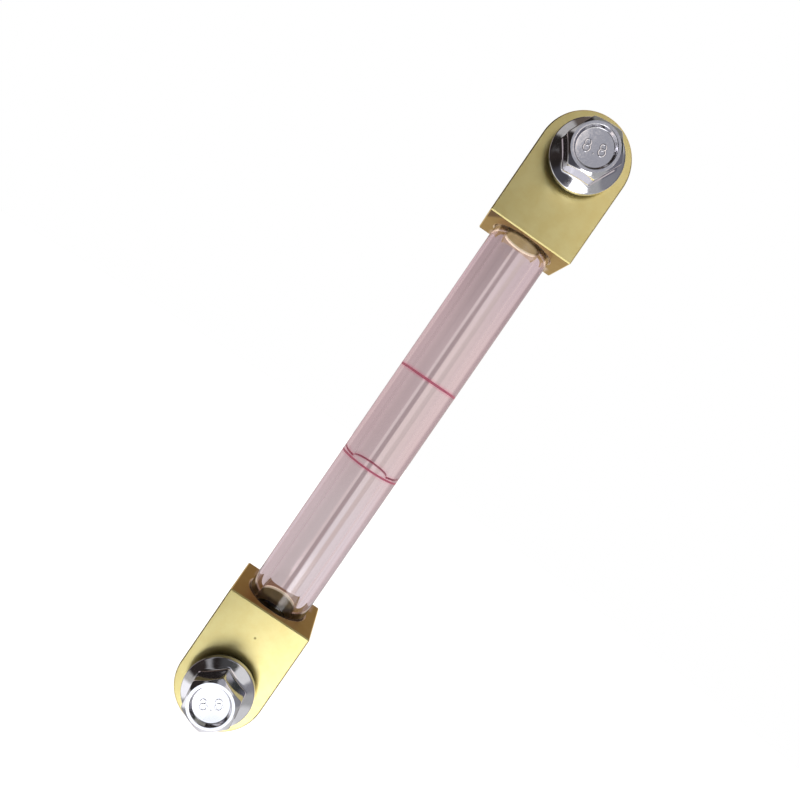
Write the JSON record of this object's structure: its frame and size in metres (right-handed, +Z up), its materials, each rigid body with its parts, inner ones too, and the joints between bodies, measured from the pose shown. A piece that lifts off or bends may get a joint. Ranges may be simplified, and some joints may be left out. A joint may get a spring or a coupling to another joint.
{
  "type": "hydraulic oil level gauge",
  "caption": "Oil level gauge for a tank wall: a thick clear sight tube between two round-ended metal blocks, each held by a hollow flange bolt that lets the oil in.",
  "frame": {"origin": "on the tank wall's plane, half way between the axes of the two bolts", "axes": "+Z up along the sight tube, +Y into the tank wall, so the front with the bolt heads faces -Y"},
  "size_m": [0.0226, 0.0475, 0.1724],
  "materials": {
    "end_blocks": "pale gold anodised, satin",
    "sight_tube": "clear with a faint pink tint",
    "level_marks": "red paint in an engraved line",
    "seals": "black nitrile rubber",
    "bolts": "bright zinc plated steel"
  },
  "bodies": {
    "gauge": {"upper_end_block": "end_blocks", "lower_end_block": "end_blocks", "sight_tube": "sight_tube", "high_level_mark": "level_marks", "low_level_mark": "level_marks", "upper_tube_seal": "seals", "lower_tube_seal": "seals", "upper_wall_seal": "seals", "lower_wall_seal": "seals"},
    "upper_bolt": {"upper_banjo_bolt": "bolts", "upper_head_seal": "seals"},
    "lower_bolt": {"lower_banjo_bolt": "bolts", "lower_head_seal": "seals"}
  },
  "joints": [
    {"name": "upper_bolt_turn", "type": "hinge", "parent": "gauge", "child": "upper_bolt", "pos_m": [0, -0.01025, 0.075], "axis": [0, 1, 0], "continuous": true},
    {"name": "lower_bolt_turn", "type": "hinge", "parent": "gauge", "child": "lower_bolt", "pos_m": [0, -0.01025, -0.075], "axis": [0, 1, 0], "continuous": true}
  ]
}
